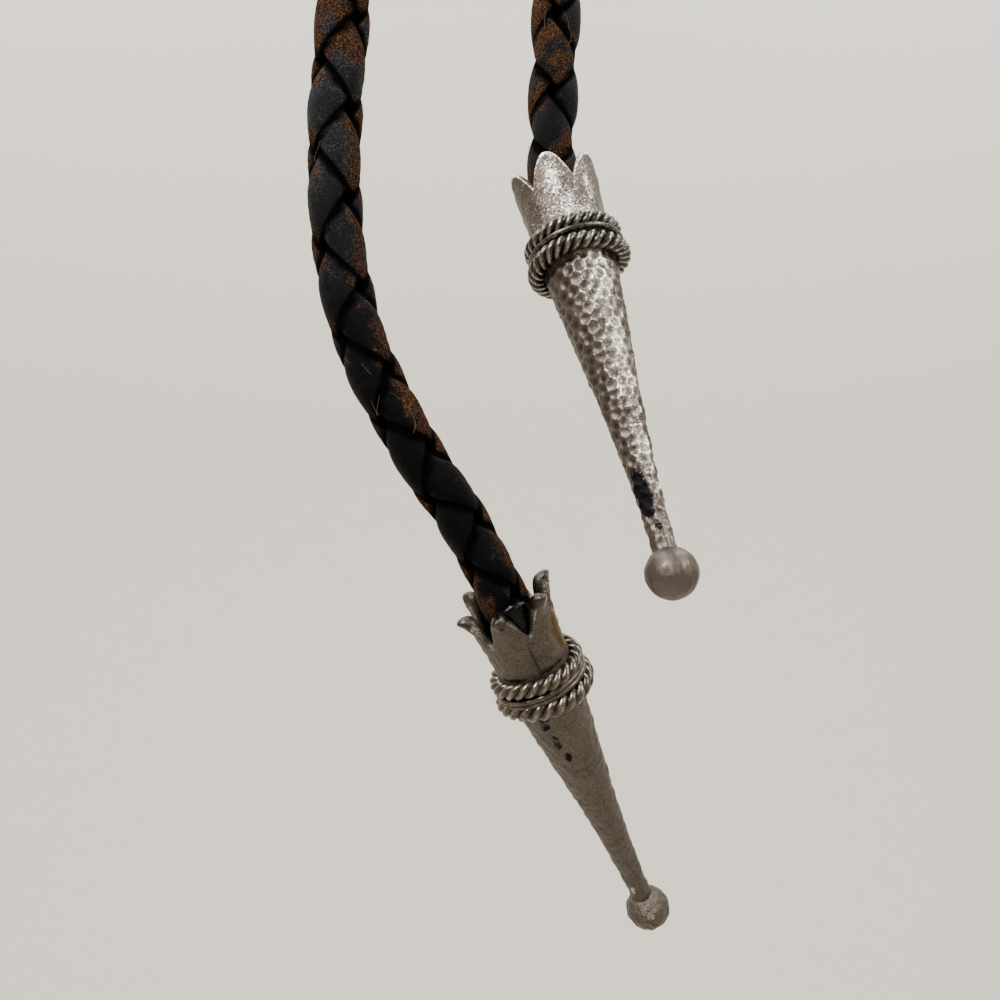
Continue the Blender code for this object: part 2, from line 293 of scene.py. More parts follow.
def smoothRoute(route, step):
    # a smooth curve through the route's points, read at even steps
    points = np.array([tuple(point) for point in route])
    before = 2 * points[0] - points[1]
    after = 2 * points[-1] - points[-2]
    knots = np.vstack([before, points, after])
    fine = []
    for index in range(1, len(knots) - 2):
        p0, p1, p2, p3 = knots[index - 1:index + 3]
        for share in np.linspace(0.0, 1.0, cordPlan["spanSteps"], endpoint=False):
            linear = (p2 - p0) * share
            square = (2 * p0 - 5 * p1 + 4 * p2 - p3) * share ** 2
            cube = (3 * p1 - p0 - 3 * p2 + p3) * share ** 3
            fine.append((2 * p1 + linear + square + cube) / 2)
    fine.append(knots[-2])
    fine = np.array(fine)
    spans = np.linalg.norm(np.diff(fine, axis=0), axis=1)
    along = np.concatenate([[0.0], np.cumsum(spans)])
    count = max(2, round(along[-1] / step))
    wanted = np.linspace(0.0, along[-1], count + 1)
    path = np.column_stack([np.interp(wanted, along, fine[:, axis]) for axis in range(3)])
    return path, along[-1]


def pathFrames(path, first):
    # directions along the path, and two more across it that turn as little as they can
    ahead = np.gradient(path, axis=0)
    ahead /= np.linalg.norm(ahead, axis=1)[:, None]
    normal = np.array(first, float)
    normals = []
    for direction in ahead:
        normal = normal - direction * normal.dot(direction)
        normal /= np.linalg.norm(normal)
        normals.append(normal)
    normals = np.array(normals)
    return normals, np.cross(ahead, normals)


def cordPaths(plan):
    reach = leftRoute[0][0]
    frontY = leftRoute[0][1]
    low = plan["slideZ"] - plan["halfGap"]
    high = plan["slideZ"] + plan["halfGap"]
    left = [(reach, frontY, low)] + leftRoute + [leftTip["mouth"], seatPoint(leftTip)]
    right = [(-reach, frontY, low)] + rightRoute + [rightTip["mouth"], seatPoint(rightTip)]
    half = [(-reach, frontY, high)] + neckRoute
    back = [(-x, y, z) for x, y, z in reversed(half)]
    neck = half + [(0.0, plan["diameter"] / 2, 0.0)] + back
    step = plan["pathStep"]
    return smoothRoute(left, step), smoothRoute(right, step), smoothRoute(neck, step)


# braid: four flat laces, two turning each way, each over one and under one

braid = {
    "laces": 4,
    "lay": 0.0189,
    "middle": 0.00178,
    "unroll": 0.0025,
    "swing": 0.00030,
    "width": 0.0050,
    "thickness": 0.0019,
    "squareness": 2.7,
    "sections": 28,
    "endRamp": 0.004,
    "core": 0.0014,
    "coreSides": 12,
    "coreStretch": 3,
    "merge": 0.0000005,
    # painted shade: the laces go black near their edges and where they pass under the others
    "edgeShade": (0.84, 0.92),
    "underShade": (0.12, 0.0),
    "outerFrom": 0.55,
    "widthWave": (20, 0.021, 0.04),
    "radiusWave": (70, 0.013, 0.00005),
    "angleWave": (40, 0.031, 0.07),
    "patchWave": (60, 0.024, 0.5),
    "spotWave": (80, 0.009, 0.25),
}

slowWave = {
    "octaves": 4,
    "rateStep": 0.9,
    "strength": (0.4, 1.0),
    "divisor": 2.2,
}

fibres = {
    "seed": 31,
    "radius": 0.0030,
    "root": 0.00025,
    "thick": 0.000030,
    "taper": 0.6,
    "start": (0.02, 0.95),
    "long": (0.0006, 0.0026),
    "curl": (0.0001, 0.0004),
    "waves": (2.0, 6.0),
    "lift": (0.0000, 0.0002),
    "stations": 10,
    "sides": 5,
}


def laceWave(name, lace, along):
    # a slow random wave along a lace, from its seed, its period and its strength
    seed, period, strength = braid[name]
    random = np.random.default_rng(seed + lace)
    wave = np.zeros_like(along)
    for octave in range(slowWave["octaves"]):
        rate = 2 * math.pi / period * (1.0 + slowWave["rateStep"] * octave)
        start = random.uniform(0, 2 * math.pi)
        wave += np.sin(along * rate + start) * random.uniform(*slowWave["strength"])
    return wave / slowWave["divisor"] * strength


def readCourse(course, share, angle):
    # the cord's middle at a share of its length, and the way out of it at an angle
    knots = np.arange(len(course["path"]))
    spot = share * (len(knots) - 1)
    middle, normal, side = [
        np.column_stack([np.interp(spot, knots, part[:, axis]) for axis in range(3)])
        for part in (course["path"], course["normal"], course["side"])
    ]
    return middle, normal * np.cos(angle)[:, None] + side * np.sin(angle)[:, None]


def braidPoints(course, lace, share, turn):
    # where a lace's skin lies: share runs along it, and turn round its section
    plan, length = braid, course["length"]
    rate = 2 * math.pi / plan["lay"]
    way = 1.0 if lace % 2 == 0 else -1.0
    order = math.pi * (lace // 2)
    along = share * length
    lead = math.atan(plan["unroll"] * rate)
    corner = 2 / plan["squareness"]
    cosine, sine = np.cos(turn), np.sin(turn)
    wide = plan["width"] / 2 * (1 + laceWave("widthWave", lace, along))
    x = wide * np.sign(cosine) * np.abs(cosine) ** corner
    y = plan["thickness"] / 2 * np.sign(sine) * np.abs(sine) ** corner
    ramp = rise(np.minimum(along, length - along), 0.0, plan["endRamp"])
    station = along - way * x * math.sin(lead) * ramp
    weave = way * rate * (along + course["phase"]) + order + x * math.cos(lead) / plan["unroll"]
    over = way * np.cos(weave + way * rate * (station + course["phase"]) - order)
    radius = plan["middle"] + plan["swing"] * over + y + laceWave("radiusWave", lace, along)
    angle = weave + course["roll"] + laceWave("angleWave", lace, along)
    middle, outward = readCourse(course, station / length, angle)
    places = middle + outward * radius[:, None]
    # dark is painted shade: black in the crevices at the laces' edges and where they pass under
    dark = np.maximum(rise(np.abs(x) / wide, *plan["edgeShade"]), rise(over, *plan["underShade"]))
    worn = laceWave("patchWave", lace, along) + laceWave("spotWave", lace, along)
    worn = worn + course["outerWear"] * (np.abs(np.sin(angle)) - plan["outerFrom"])
    worn = worn + np.interp(share, *zip(*course["wear"]))
    dust = np.interp(share, *zip(*course["dust"]))
    return places, {"dark": dark, "worn": worn, "dust": dust}


def corePoints(course, share, turn):
    # a plain core that closes the small holes between the laces, painted black all over as painted
    # shade
    middle, outward = readCourse(course, share, turn)
    full = np.ones_like(share)
    return middle + outward * braid["core"], {"dark": full, "worn": -full}


def fibrePoints(course, fibre, share, turn):
    # a thin curly fibre of the leather that starts under the skin and rises a little
    along = fibre["start"] + share * fibre["long"] * math.cos(fibre["lean"])
    along = along + fibre["curl"] * np.sin(share * fibre["waves"])
    angle = fibre["angle"] + share * fibre["long"] * math.sin(fibre["lean"]) / fibres["radius"]
    angle = angle + fibre["curl"] * np.cos(share * fibre["waves"]) / fibres["radius"]
    radius = fibres["radius"] + fibre["lift"] * np.sin(math.pi * share)
    radius = radius - fibres["root"] * (1 - share)
    middle, outward = readCourse(course, along / course["length"], angle)
    across = np.cross(course["path"][1] - course["path"][0], outward)
    across /= np.linalg.norm(across, axis=1)[:, None]
    thick = fibres["thick"] * (1 - fibres["taper"] * share)
    places = middle + outward * (radius + thick * np.cos(turn))[:, None]
    places = places + across * (thick * np.sin(turn))[:, None]
    return places, {"fibre": np.ones_like(share)}


def makeFibres(bm, course):
    random = np.random.default_rng(fibres["seed"])
    for _ in range(course["fibres"]):
        fibre = {
            "start": random.uniform(*fibres["start"]) * course["length"],
            "angle": random.uniform(0, 2 * math.pi),
            "long": random.uniform(*fibres["long"]),
            "lean": random.uniform(0, 2 * math.pi),
            "curl": random.uniform(*fibres["curl"]),
            "waves": random.uniform(*fibres["waves"]),
            "lift": random.uniform(*fibres["lift"]),
        }
        skinGrid(bm, fibres["stations"], fibres["sides"],
                 lambda share, turn: fibrePoints(course, fibre, share, turn))


def makeBraid(name, course):
    course["normal"], course["side"] = pathFrames(course["path"], cordPlan["frontFirst"])
    bm = bmesh.new()
    for key in ("dark", "worn", "dust", "fibre"):
        bm.verts.layers.float.new(key)
    longways = round(course["length"] / braid["lay"] * course["stations"])
    for lace in range(braid["laces"]):
        skinGrid(bm, longways, braid["sections"],
                 lambda share, turn, lace=lace: braidPoints(course, lace, share, turn))
    skinGrid(bm, longways // braid["coreStretch"], braid["coreSides"],
             lambda share, turn: corePoints(course, share, turn))
    makeFibres(bm, course)
    return closeMesh(bm, name, braid["merge"])


(leftPath, leftLength), (rightPath, rightLength), (neckPath, neckLength) = cordPaths(cordPlan)

# stations are for each lay; wear and dust go by the share of the length
leftCourse = {
    "path": leftPath,
    "length": leftLength,
    "stations": 50,
    "fibres": 90,
    "roll": math.radians(43),
    "phase": 0.00245,
    "outerWear": 1.1,
    "wear": [(0.0, 0.15), (0.66, 0.15), (0.80, 0.0), (0.88, -0.25), (1.0, 0.0)],
    "dust": [(0.0, 0.6), (0.66, 1.0), (0.74, 0.85), (0.79, 0.45), (0.82, 0.05), (1.0, 0.0)],
}
rightCourse = {
    "path": rightPath,
    "length": rightLength,
    "stations": 50,
    "fibres": 70,
    "roll": math.radians(95),
    "phase": 0.0,
    "outerWear": 0.1,
    "wear": [(0.0, 0.1), (1.0, 0.18)],
    "dust": [(0.0, 0.6), (0.8, 0.3), (1.0, 0.1)],
}
neckCourse = {
    "path": neckPath,
    "length": neckLength,
    "stations": 26,
    "fibres": 0,
    "roll": math.radians(45),
    "phase": 0.0,
    "outerWear": 0.3,
    "wear": [(0.0, 0.0), (0.5, -0.3), (1.0, 0.0)],
    "dust": [(0.0, 0.6), (1.0, 0.6)],
}
leftBraid = makeBraid("left_braid", leftCourse)
rightBraid = makeBraid("right_braid", rightCourse)
neckBraid = makeBraid("neck_braid", neckCourse)
print("braids made:", round(leftLength, 4), round(rightLength, 4), round(neckLength, 4))


# lace end: the cut end of one lace, which stands in the left cup beside the cord

laceEnd = {
    "angle": 23,
    "radius": 0.0034,
    "width": 0.0034,
    "thickness": 0.0012,
    "low": 0.0080,
    "high": -0.0005,
    "lean": 0.0003,
    "rounding": 0.12,
    "endWidth": 0.55,
    "endCurve": 0.0006,
    "stations": 24,
    "sides": 32,
    "merge": 0.0000005,
}


def makeLaceEnd(plan, tip):
    bm = bmesh.new()
    turnTo = math.radians(plan["angle"])

    def shape(share, turn):
        # share runs up out of the cup; the last part of it rounds the cut end
        ending = rise(share, 1 - plan["rounding"], 1.0)
        shrink = np.sqrt(np.maximum(1 - ending ** 2, 0.0))
        narrow = plan["endWidth"] + (1 - plan["endWidth"]) * shrink
        wide = np.where(ending == 1, 0.0, plan["width"] / 2 * np.cos(turn) * narrow)
        thick = plan["thickness"] / 2 * np.sin(turn) * shrink
        reach = plan["radius"] + thick + plan["lean"] * share ** 3
        angle = turnTo + wide / plan["radius"]
        height = -plan["low"] + (plan["low"] - plan["high"]) * share
        height = height - plan["endCurve"] * (wide / plan["width"] * 2) ** 2 * ending
        return np.column_stack([reach * np.cos(angle), reach * np.sin(angle), height]), {}

    skinGrid(bm, plan["stations"], plan["sides"], shape)
    bmesh.ops.transform(bm, matrix=tipMatrix(tip), verts=bm.verts)
    return closeMesh(bm, "lace_end", plan["merge"])


laceEndPiece = makeLaceEnd(laceEnd, leftTip)
print("lace end made")


# casting: the cup with its teeth, the cone and the ball, turned and then shaped

casting = {
    "turns": 208,
    "cupRows": 26,
    "rimRows": 6,
    "coneRows": 250,
    "ballRows": 36,
    "coneTable": [
        (0.00, 1.00), (0.08, 0.92), (0.21, 0.74), (0.35, 0.56), (0.47, 0.40),
        (0.59, 0.26), (0.70, 0.16), (0.80, 0.09), (0.92, 0.02), (1.00, 0.00),
    ],
    "waist": 0.0004,
    "dimple": 0.00142,
    "dimpleEnd": 0.00115,
    "dimpleFill": 0.62,
    "dimpleStart": 0.0002,
    "dimplePitch": 0.86,
    "dimplesLeast": 4,
    "dimpleShift": 0.12,
    "dimpleRange": (0.92, 1.08),
    "dimpleFade": 0.004,
    "dimpleFadeLeast": 0.25,
    "coneBefore": 0.0003,
    "conePast": 0.0002,
    "lumpSize": 0.0016,
    "lumpWaves": 30,
    "lumpRates": (0.6, 1.8),
    "patchEdge": 1.5,
    "weld": 0.000001,
    "slack": 0.0000001,
    "shortest": 0.000001,
    "merge": 0.0000001,
}


def ropeDepths():
    upper = tipShape["cupHeight"] + tipShape["upperRope"]
    lower = upper + tipShape["ropeSpacing"]
    return upper, lower, lower + tipShape["lowerRope"]


def cupMiddle(depth):
    # the radius of the middle of the cup's wall
    share = np.maximum(0.0, 1 - depth / tipShape["cupHeight"])
    flare = tipShape["flare"] * share ** tipShape["flarePower"]
    return tipShape["cupFoot"] + flare - tipShape["wall"] / 2


def coneRadius(share):
    shares, tapers = zip(*casting["coneTable"])
    taper = float(np.interp(share, shares, tapers))
    return tipShape["neck"] + (tipShape["coneTop"] - tipShape["neck"]) * taper


def castingProfile():
    # from the bottom of the hollow up inside the cup, over its rim and down to the ball's end
    plan, shape = casting, tipShape
    half, height = shape["wall"] / 2, shape["cupHeight"]
    cupDepths = [height * row / plan["cupRows"] for row in range(plan["cupRows"] + 1)]
    points = [(0.0, -shape["cupDepth"]), (cupMiddle(height) - half, -shape["cupDepth"])]
    points += [(cupMiddle(depth) - half, -depth) for depth in reversed(cupDepths)]
    for row in range(1, plan["rimRows"]):
        angle = math.pi * row / plan["rimRows"]
        above = shape["wall"] * shape["rimHeight"] * math.sin(angle)
        points.append((cupMiddle(0.0) - half * math.cos(angle), above))
    points += [(cupMiddle(depth) + half, -depth) for depth in cupDepths]
    upper, lower, end = ropeDepths()
    points.append((shape["cupFoot"], -upper))
    points.append((shape["cupFoot"] + plan["waist"], -(upper + lower) / 2))
    points.append((shape["cupFoot"], -lower))
    reach = math.sqrt(shape["ball"] ** 2 - shape["neck"] ** 2)
    length = shape["toBall"] - reach - end
    for row in range(plan["coneRows"] + 1):
        share = row / plan["coneRows"]
        points.append((coneRadius(share), -end - length * share))
    first = math.asin(shape["neck"] / shape["ball"])
    for row in range(1, plan["ballRows"] + 1):
        angle = first + (math.pi - first) * row / plan["ballRows"]
        radius = 0.0 if row == plan["ballRows"] else shape["ball"] * math.sin(angle)
        points.append((radius, -shape["toBall"] + shape["ball"] * math.cos(angle)))
    return points


def castLumps(places, seed):
    # smooth random waves through space
    random = np.random.default_rng(seed)
    total = np.zeros(len(places))
    for _ in range(casting["lumpWaves"]):
        direction = random.normal(size=3)
        direction /= np.linalg.norm(direction)
        rate = 2 * math.pi / casting["lumpSize"] * random.uniform(*casting["lumpRates"])
        total += np.sin(places @ direction * rate + random.uniform(0, 2 * math.pi))
    return total / math.sqrt(casting["lumpWaves"] / 2)


def dimpleCentres(seed, start, end):
    # hammer marks in loose rings down the cone
    plan = casting
    random = np.random.default_rng(seed)
    shift = plan["dimpleShift"]
    depth = start + plan["dimpleStart"]
    offset = 0.0
    while depth < end:
        share = (depth - start) / (end - start)
        size = plan["dimple"] + (plan["dimpleEnd"] - plan["dimple"]) * share
        radius = coneRadius(share)
        count = max(plan["dimplesLeast"], round(2 * math.pi * radius / size))
        offset += math.pi / count
        for index in range(count):
            angle = offset + 2 * math.pi * (index + random.uniform(-shift, shift)) / count
            low = depth + random.uniform(-shift, shift) * size
            middle = (radius * math.cos(angle), radius * math.sin(angle), -low)
            yield middle, size * random.uniform(*plan["dimpleRange"])
        depth += size * plan["dimplePitch"]


def toothEdge(angle, tip):
    # how deep the cup's edge lies below the mouth, and how far each place is from a tooth's middle
    shape = tipShape
    count = shape["teeth"]
    pitch = 2 * math.pi / count
    share = np.abs((angle / pitch + 0.5) % 1.0 - 0.5) * 2
    tooth = np.round(angle / pitch).astype(int) % count
    random = np.random.default_rng(tip["seed"])
    short = random.uniform(*shape["toothShort"], count)[tooth] * (1 - share)
    low, power = shape["toothRound"], shape["toothPower"] / 2
    pointed = ((share ** 2 + low) ** power - low ** power) / ((1 + low) ** power - low ** power)
    finger = (1 - np.cos(math.pi * rise(share, shape["fingerFlat"], 1.0))) / 2
    curve = pointed + (finger - pointed) * tip["finger"]
    return tip["toothDepth"] * (short + curve * (1 - short)), share


def shapeCup(radius, angle, depth, tip):
    # draws the turned cup down between its teeth, and curls and thickens their points
    shape = tipShape
    edge, share = toothEdge(angle, tip)
    newDepth = edge + depth * (1 - edge / shape["cupHeight"])
    offset = radius - cupMiddle(np.maximum(depth, 0.0))
    nearTip = rise(newDepth, tip["curlReach"], 0.0) * rise(share * shape["curlNarrow"], 1.0, 0.0)
    thick = 1 + tip["bulb"] * nearTip ** shape["bulbPower"]
    newRadius = cupMiddle(np.maximum(newDepth, 0.0)) + offset * thick
    newRadius = newRadius + tip["curl"] * nearTip ** shape["curlPower"]
    low = shape["rimLineLow"]
    # the rim line is a painted highlight along the rims of the teeth
    line = rise(newDepth - edge, tip["rimLine"], 0.0) * (low + (1 - low) * np.sqrt(nearTip))
    return newRadius, newDepth, line, nearTip


def placeMarks(depth, angle, radius, patches, soft):
    # how strongly the patches mark each place, with soft or with crisp edges
    total = np.zeros(len(depth))
    for along, degrees, high, wide, strength in patches:
        turn = (angle - math.radians(degrees) + math.pi) % (2 * math.pi) - math.pi
        away = np.hypot((depth - along) / high, turn * radius / wide)
        level = np.exp(-away ** 2) if soft else np.clip(casting["patchEdge"] - away, 0, 1)
        total = np.maximum(total, level * strength)
    return total


def shapeCasting(co, tip):
    # lays out the turned mesh with its teeth, hammer marks and lumps, and marks each place
    plan, shape = casting, tipShape
    radius = np.hypot(co[:, 0], co[:, 1])
    angle = np.arctan2(co[:, 1], co[:, 0])
    depth = -co[:, 2]
    coneStart = ropeDepths()[2]
    coneEnd = shape["toBall"] - math.sqrt(shape["ball"] ** 2 - shape["neck"] ** 2)
    inCup = depth < shape["cupHeight"] - plan["slack"]
    inner = inCup & (radius < cupMiddle(np.maximum(depth, 0.0)) - plan["slack"])
    onBall = depth > coneEnd + plan["conePast"]
    onCone = (depth > coneStart - plan["coneBefore"]) & (depth < coneEnd + plan["conePast"])
    cupRadius, cupDepth, rim, nearTip = shapeCup(radius, angle, depth, tip)
    radius = np.where(inCup, cupRadius, radius)
    depth = np.where(inCup, cupDepth, depth)
    places = np.column_stack([radius * np.cos(angle), radius * np.sin(angle), -depth])
    hollow = np.zeros(len(co))
    if tip["hammer"] > 0:
        for middle, size in dimpleCentres(tip["seed"] + 1, coneStart, coneEnd):
            away = np.linalg.norm(places - np.array(middle), axis=1)
            hollow = np.maximum(hollow, 1 - (away / (size * plan["dimpleFill"])) ** 2)
        fade = np.clip((coneEnd - depth) / plan["dimpleFade"], plan["dimpleFadeLeast"], 1.0)
        hollow = np.where(onCone, hollow * fade, 0)
    lump = castLumps(places, tip["seed"] + 2)
    push = np.where(onBall, tip["ballLumps"], tip["lumps"]) * lump - tip["hammer"] * hollow
    push = np.where(inner, 0.0, push)
    outward = places.copy()
    outward[:, 2] += np.where(onBall, shape["toBall"], depth)
    size = np.maximum(np.linalg.norm(outward, axis=1), plan["shortest"])
    places = places + outward / size[:, None] * push[:, None]
    marks = {
        "hollow": hollow,
        # inside marks the cup's inner wall for painted shade
        "inside": inner * 1.0,
        # gloss marks the finger tips for real polish and for a painted dark reflection
        "gloss": np.where(inCup, nearTip * tip["tipGloss"], 0.0),
        "coarse": np.where(inCup, 1.0, tip["coneGrain"]),
    }
    for mark, soft in (("rubs", True), ("spots", False), ("glue", False), ("rust", False),
                       ("seams", True)):
        level = placeMarks(depth, angle, radius, tip[mark], soft)
        marks[mark] = np.where(inner, 0.0, level)
    # painted highlight along the rims, added to the rubs
    rimHighlight = np.where(inCup & ~inner, rim * tip["rimShine"], 0.0)
    marks["rubs"] = np.maximum(marks["rubs"], rimHighlight)
    return places, marks


def makeCasting(name, tip):
    bm = bmesh.new()
    spinProfile(bm, castingProfile(), casting["turns"])
    bmesh.ops.remove_doubles(bm, verts=bm.verts, dist=casting["weld"])
    co = np.array([vert.co[:] for vert in bm.verts])
    places, marks = shapeCasting(co, tip)
    turn = np.array(tipMatrix(tip))
    world = places @ turn[:3, :3].T + turn[:3, 3]
    for key, values in marks.items():
        layer = bm.verts.layers.float.new(key)
        for vert, value in zip(bm.verts, values):
            vert[layer] = value
    for vert, place in zip(bm.verts, world):
        vert.co = place
    return closeMesh(bm, name, casting["merge"])


leftCasting = makeCasting("left_tip_casting", leftTip)
rightCasting = makeCasting("right_tip_casting", rightTip)
print("castings made")


# collar: two ropes of three strands, and one or two plain wires laid between them

collar = {
    "sink": 0.00045,
    "strands": 3,
    "strand": 0.62,
    "orbit": 0.40,
    "ropeWaves": 2,
    "stationsPerTwist": 26,
    "sides": 14,
    "wire": 0.00036,
    "wireRise": 0.00125,
    "wireShare": 0.47,
    "wireStep": 1.7,
    "wireSway": 1.6,
    "wireShine": 0.93,
    "wireStations": 180,
    "merge": 0.0000005,
}


def ringSkin(bm, plan, ring):
    # a wire bent round the cup, itself winding round the ring's middle line
    def shape(share, turn):
        around = share * 2 * math.pi
        wind = ring["twists"] * around + ring["phase"]
        sway = ring["sway"] * np.sin(ring["waves"] * around + ring["swayStart"])
        out = ring["orbit"] * np.cos(wind) + ring["strand"] * np.cos(turn)
        up = ring["orbit"] * np.sin(wind) + ring["strand"] * np.sin(turn)
        reach = ring["radius"] + out
        places = np.column_stack([reach * np.cos(around), reach * np.sin(around),
                                  up + sway - ring["depth"]])
        # worn is the distance from the rope's middle line: the crests get wear with a painted
        # highlight, and the creases between the strands get painted shade with tarnish
        worn = np.hypot(out, up) / (ring["orbit"] + ring["strand"]) * ring["shine"]
        return places, {"worn": worn}

    skinGrid(bm, ring["stations"], plan["sides"], shape)


def makeCollar(name, tip):
    plan, shape = collar, tipShape
    bm = bmesh.new()
    bm.verts.layers.float.new("worn")
    upper, lower = ropeDepths()[:2]
    random = np.random.default_rng(tip["seed"] + 9)
    for thick, depth in ((shape["upperRope"], upper), (shape["lowerRope"], lower)):
        start = random.uniform(0, 2 * math.pi)
        for strand in range(plan["strands"]):
            ringSkin(bm, plan, {
                "radius": shape["cupFoot"] + thick - plan["sink"],
                "depth": depth + tip["collarDrop"],
                "orbit": thick * tip["ropeSwell"] * plan["orbit"],
                "strand": thick * tip["ropeSwell"] * plan["strand"],
                "twists": tip["twists"],
                "phase": 2 * math.pi * strand / plan["strands"] + start,
                "sway": tip["sway"],
                "waves": plan["ropeWaves"],
                "swayStart": start,
                "stations": tip["twists"] * plan["stationsPerTwist"],
                "shine": 1.0,
            })
    wireDepth = upper + tip["collarDrop"] + shape["ropeSpacing"] * plan["wireShare"]
    for wire in range(tip["wires"]):
        ringSkin(bm, plan, {
            "radius": shape["cupFoot"] + plan["wireRise"] - plan["wire"],
            "depth": wireDepth + wire * plan["wire"] * plan["wireStep"],
            "orbit": 0.0,
            "strand": plan["wire"],
            "twists": 0,
            "phase": 0.0,
            "sway": tip["sway"] * plan["wireSway"],
            "waves": 1,
            "swayStart": 1.0,
            "stations": plan["wireStations"],
            "shine": plan["wireShine"],
        })
    bmesh.ops.transform(bm, matrix=tipMatrix(tip), verts=bm.verts)
    return closeMesh(bm, name, plan["merge"])


leftCollar = makeCollar("left_tip_collar", leftTip)
rightCollar = makeCollar("right_tip_collar", rightTip)
print("collars made")


# slide: a plain oval plate over two guide tubes

slidePlan = {
    "place": (0.0, -0.1270, -0.1600),
    "spacing": 0.0190,
    "bore": 0.0034,
    "tubeWall": 0.0013,
    "tubeLength": 0.0140,
    "width": 0.0360,
    "length": 0.0460,
    "thickness": 0.0018,
    "dome": 0.0018,
    "domeShare": 0.97,
    "domePower": 2.4,
    "domeRows": 14,
    "edgeRows": 6,
    "steps": 128,
    "sink": 0.0008,
    "chamfer": 0.0003,
    "tubeSteps": 48,
    "webInset": 0.0002,
    "merge": 0.0000005,
}


def makeSlide(plan):
    # the plate is turned as a round one of radius 1 and then stretched to its oval
    bm = bmesh.new()
    thickness, flat = plan["thickness"], plan["domeShare"]
    points = []
    for row in range(plan["domeRows"] + 1):
        share = row / plan["domeRows"]
        points.append((flat * share, thickness + plan["dome"] * (1 - share ** plan["domePower"])))
    for row in range(1, plan["edgeRows"] + 1):
        angle = math.pi * row / plan["edgeRows"]
        height = thickness / 2 * (1 + math.cos(angle))
        points.append((flat + (1 - flat) * math.sin(angle), height))
    points.append((0.0, 0.0))
    spinProfile(bm, points, plan["steps"])
    outer = plan["bore"] + plan["tubeWall"]
    stretch = Matrix.Diagonal((plan["width"] / 2, plan["length"] / 2, 1.0, 1.0))
    place = Vector(plan["place"])
    lift = Matrix.Translation(place + Vector((0.0, plan["sink"] - outer, 0.0)))
    turn = lift @ Matrix.Rotation(math.pi / 2, 4, "X") @ stretch
    bmesh.ops.transform(bm, matrix=turn, verts=bm.verts)
    half, chamfer = plan["tubeLength"] / 2, plan["chamfer"]
    wall = [
        (plan["bore"], half), (outer - chamfer, half), (outer, half - chamfer),
        (outer, chamfer - half), (outer - chamfer, -half), (plan["bore"], -half),
    ]
    for side in (-1, 1):
        middle = place + Vector((side * plan["spacing"] / 2, 0.0, 0.0))
        spinProfile(bm, wall, plan["tubeSteps"], middle, closed=True)
    web = bmesh.ops.create_cube(bm, size=1.0)
    webWidth = plan["spacing"] - 2 * plan["bore"] - plan["tubeWall"]
    webDepth = 2 * outer - plan["webInset"]
    webHeight = plan["tubeLength"] - 2 * plan["webInset"]
    size = Matrix.Diagonal((webWidth, webDepth, webHeight, 1.0))
    bmesh.ops.transform(bm, matrix=Matrix.Translation(place) @ size, verts=web["verts"])
    return closeMesh(bm, "slide_piece", plan["merge"])


slidePiece = makeSlide(slidePlan)
print("slide made")


# paint: a small class that turns Python sums on sockets into shader nodes

class Value:
    def __init__(self, paint, socket):
        self.paint = paint
        self.socket = socket

    def __add__(self, other):
        return self.paint.maths("ADD", self, other)

    def __radd__(self, other):
        return self.paint.maths("ADD", other, self)

    def __sub__(self, other):
        return self.paint.maths("SUBTRACT", self, other)

    def __rsub__(self, other):
        return self.paint.maths("SUBTRACT", other, self)

    def __mul__(self, other):
        return self.paint.maths("MULTIPLY", self, other)

    def __rmul__(self, other):
        return self.paint.maths("MULTIPLY", other, self)


class Paint:
    def __init__(self, name):
        self.material = bpy.data.materials.new(name)
        self.material.use_nodes = True
        self.tree = self.material.node_tree
        self.shader = self.tree.nodes["Principled BSDF"]

    def feed(self, socket, value):
        if isinstance(value, Value):
            self.tree.links.new(value.socket, socket)
        else:
            socket.default_value = value

    def node(self, kind, settings=None, sockets=None, output=0):
        made = self.tree.nodes.new(kind)
        for key, value in (settings or {}).items():
            if key == "stops":
                ramp = made.color_ramp
                while len(ramp.elements) < len(value):
                    ramp.elements.new(0.5)
                for element, (place, level) in zip(ramp.elements, value):
                    element.position = place
                    element.color = (level, level, level, 1.0)
            else:
                setattr(made, key, value)
        for key, value in (sockets or {}).items():
            self.feed(made.inputs[key], value)
        return Value(self, made.outputs[output])

    def maths(self, operation, first, second):
        return self.node("ShaderNodeMath", {"operation": operation}, {0: first, 1: second})

    def clamped(self, value):
        settings = {"operation": "ADD", "use_clamp": True}
        return self.node("ShaderNodeMath", settings, {0: value, 1: 0.0})

    def place(self):
        return self.node("ShaderNodeTexCoord", output=3)

    def noise(self, size, detail, rough, bend, seed):
        return self.node("ShaderNodeTexNoise", {"noise_dimensions": "4D"}, {
            "Vector": self.place(), "W": seed, "Scale": 1.0 / size, "Detail": detail,
            "Roughness": rough, "Distortion": bend})

    def mark(self, name):
        return self.node("ShaderNodeAttribute", {"attribute_name": name}, output=2)

    def ramp(self, value, stops):
        return self.node("ShaderNodeValToRGB", {"stops": stops}, {0: value})

    def mix(self, factor, first, second):
        sockets = {0: factor, 6: first, 7: second}
        return self.node("ShaderNodeMix", {"data_type": "RGBA"}, sockets, 2)

    def bump(self, height, strength, distance):
        sockets = {"Strength": strength, "Distance": distance, "Height": height}
        return self.node("ShaderNodeBump", None, sockets)

    def shade(self, **values):
        for key, value in values.items():
            self.feed(self.shader.inputs[key.replace("_", " ")], value)
        return self.material


def sRgb(red, green, blue):
    def line(value):
        share = value / 255
        return share / 12.92 if share <= 0.04045 else ((share + 0.055) / 1.055) ** 2.4
    return (line(red), line(green), line(blue), 1.0)


# leather: black finish, worn through in patches to rusty brown suede
# here and below, a noise is its size, detail, roughness, bend and seed, and a ramp is its stops

